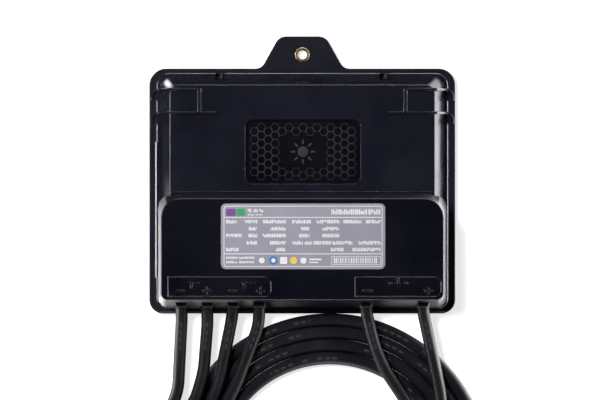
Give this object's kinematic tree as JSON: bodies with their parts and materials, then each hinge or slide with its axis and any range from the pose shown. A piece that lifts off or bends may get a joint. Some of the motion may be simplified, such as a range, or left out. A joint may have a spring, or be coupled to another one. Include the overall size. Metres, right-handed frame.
{
  "type": "photovoltaic power optimizer",
  "caption": "Flat sealed module-level solar power unit with a hanging tab, stepped front cover and coiled DC cables ending in plug connectors.",
  "frame": {"origin": "centre of the housing's flat back face", "axes": "+Z out of the front cover, +Y towards the hanging tab, +X to the right seen from the front"},
  "size_m": [0.2721, 0.312, 0.0303],
  "materials": {
    "housing_plastic": "satin moulded, fine texture",
    "brass": "turned, bright",
    "gasket_rubber": "matte",
    "label_foil": "satin printed foil",
    "screw_steel": "plain",
    "aluminium_plate": "mill finish",
    "gap_pad": "matte",
    "board_laminate": "solder mask",
    "ferrite": "sintered, matte",
    "copper_wire": "enamelled",
    "powder_core": "painted",
    "film_capacitor": "moulded box",
    "can_capacitor": "sleeved",
    "chip_epoxy": "moulded epoxy",
    "tinned_metal": "tin plated",
    "inner_plastic": "moulded",
    "boot_rubber": "matte",
    "cable_sheath": "semi-matte extruded",
    "connector_plastic": "fine moulded texture",
    "contact_metal": "tin plated",
    "seal_rubber": "matte"
  },
  "bodies": {
    "root": {"rear_shell": "housing_plastic", "tab_bush": "brass", "shell_gasket": "gasket_rubber", "front_shell": "housing_plastic", "rating_label": "label_foil", "shell_screws": "screw_steel", "heat_spreader": "aluminium_plate", "thermal_pads": "gap_pad", "circuit_board": "board_laminate", "board_screws": "screw_steel", "inductor_cores": "ferrite", "inductor_windings": "copper_wire", "choke_core": "powder_core", "choke_winding": "copper_wire", "input_capacitors": "film_capacitor", "output_capacitors": "can_capacitor", "power_transistors": "chip_epoxy", "bypass_diodes": "chip_epoxy", "controller_chip": "chip_epoxy", "gate_drivers": "chip_epoxy", "current_shunts": "tinned_metal", "cable_terminals": "tinned_metal", "conductor_ends": "tinned_metal", "clamp_bars": "inner_plastic", "clamp_screws": "screw_steel", "cable_grommets": "boot_rubber", "cable_in1_neg": "cable_sheath", "cable_in1_pos": "cable_sheath", "cable_in2_neg": "cable_sheath", "cable_in2_pos": "cable_sheath", "cable_out_neg": "cable_sheath", "cable_out_pos": "cable_sheath", "socket_bodies": "connector_plastic", "plug_bodies": "connector_plastic", "socket_contacts": "contact_metal", "pin_contacts": "contact_metal", "cable_seals": "seal_rubber", "nose_rings": "seal_rubber"},
    "cage_in1_neg": {"cage_in1_neg": "inner_plastic"},
    "nut_in1_neg": {"nut_in1_neg": "connector_plastic"},
    "cage_in1_pos": {"cage_in1_pos": "inner_plastic"},
    "nut_in1_pos": {"nut_in1_pos": "connector_plastic"},
    "cage_in2_neg": {"cage_in2_neg": "inner_plastic"},
    "nut_in2_neg": {"nut_in2_neg": "connector_plastic"},
    "cage_in2_pos": {"cage_in2_pos": "inner_plastic"},
    "nut_in2_pos": {"nut_in2_pos": "connector_plastic"},
    "cage_out_neg": {"cage_out_neg": "inner_plastic"},
    "nut_out_neg": {"nut_out_neg": "connector_plastic"},
    "cage_out_pos": {"cage_out_pos": "inner_plastic"},
    "nut_out_pos": {"nut_out_pos": "connector_plastic"}
  },
  "joints": [
    {"name": "cage_in1_neg_slide", "type": "slide", "parent": "root", "child": "cage_in1_neg", "axis": [0.4695, 0.8829, 0], "range_m": [0, 0.003]},
    {"name": "nut_in1_neg_turn", "type": "hinge", "parent": "cage_in1_neg", "child": "nut_in1_neg", "pos_m": [-0.1297, -0.16435, 0.0095], "axis": [0.4695, 0.8829, 0], "range_deg": [0, 720]},
    {"name": "cage_in1_pos_slide", "type": "slide", "parent": "root", "child": "cage_in1_pos", "axis": [0.4695, 0.8829, 0], "range_m": [0, 0.003]},
    {"name": "nut_in1_pos_turn", "type": "hinge", "parent": "cage_in1_pos", "child": "nut_in1_pos", "pos_m": [-0.11389, -0.17275, 0.0095], "axis": [0.4695, 0.8829, 0], "range_deg": [0, 720]},
    {"name": "cage_in2_neg_slide", "type": "slide", "parent": "root", "child": "cage_in2_neg", "axis": [0.4695, 0.8829, 0], "range_m": [0, 0.003]},
    {"name": "nut_in2_neg_turn", "type": "hinge", "parent": "cage_in2_neg", "child": "nut_in2_neg", "pos_m": [-0.09809, -0.18116, 0.0095], "axis": [0.4695, 0.8829, 0], "range_deg": [0, 720]},
    {"name": "cage_in2_pos_slide", "type": "slide", "parent": "root", "child": "cage_in2_pos", "axis": [0.4695, 0.8829, 0], "range_m": [0, 0.003]},
    {"name": "nut_in2_pos_turn", "type": "hinge", "parent": "cage_in2_pos", "child": "nut_in2_pos", "pos_m": [-0.08228, -0.18956, 0.0095], "axis": [0.4695, 0.8829, 0], "range_deg": [0, 720]},
    {"name": "cage_out_neg_slide", "type": "slide", "parent": "root", "child": "cage_out_neg", "axis": [0, 1, 0], "range_m": [0, 0.003]},
    {"name": "nut_out_neg_turn", "type": "hinge", "parent": "cage_out_neg", "child": "nut_out_neg", "pos_m": [0.0859, -0.176, 0.0095], "axis": [0, 1, 0], "range_deg": [0, 720]},
    {"name": "cage_out_pos_slide", "type": "slide", "parent": "root", "child": "cage_out_pos", "axis": [0, 1, 0], "range_m": [0, 0.003]},
    {"name": "nut_out_pos_turn", "type": "hinge", "parent": "cage_out_pos", "child": "nut_out_pos", "pos_m": [0.104, -0.186, 0.0095], "axis": [0, 1, 0], "range_deg": [0, 720]}
  ],
  "couplings": [
    {"joint": "cage_in1_neg_slide", "follows": "nut_in1_neg_turn", "m_per_rad": 0.0002387},
    {"joint": "cage_in1_pos_slide", "follows": "nut_in1_pos_turn", "m_per_rad": 0.0002387},
    {"joint": "cage_in2_neg_slide", "follows": "nut_in2_neg_turn", "m_per_rad": 0.0002387},
    {"joint": "cage_in2_pos_slide", "follows": "nut_in2_pos_turn", "m_per_rad": 0.0002387},
    {"joint": "cage_out_neg_slide", "follows": "nut_out_neg_turn", "m_per_rad": 0.0002387},
    {"joint": "cage_out_pos_slide", "follows": "nut_out_pos_turn", "m_per_rad": 0.0002387}
  ]
}
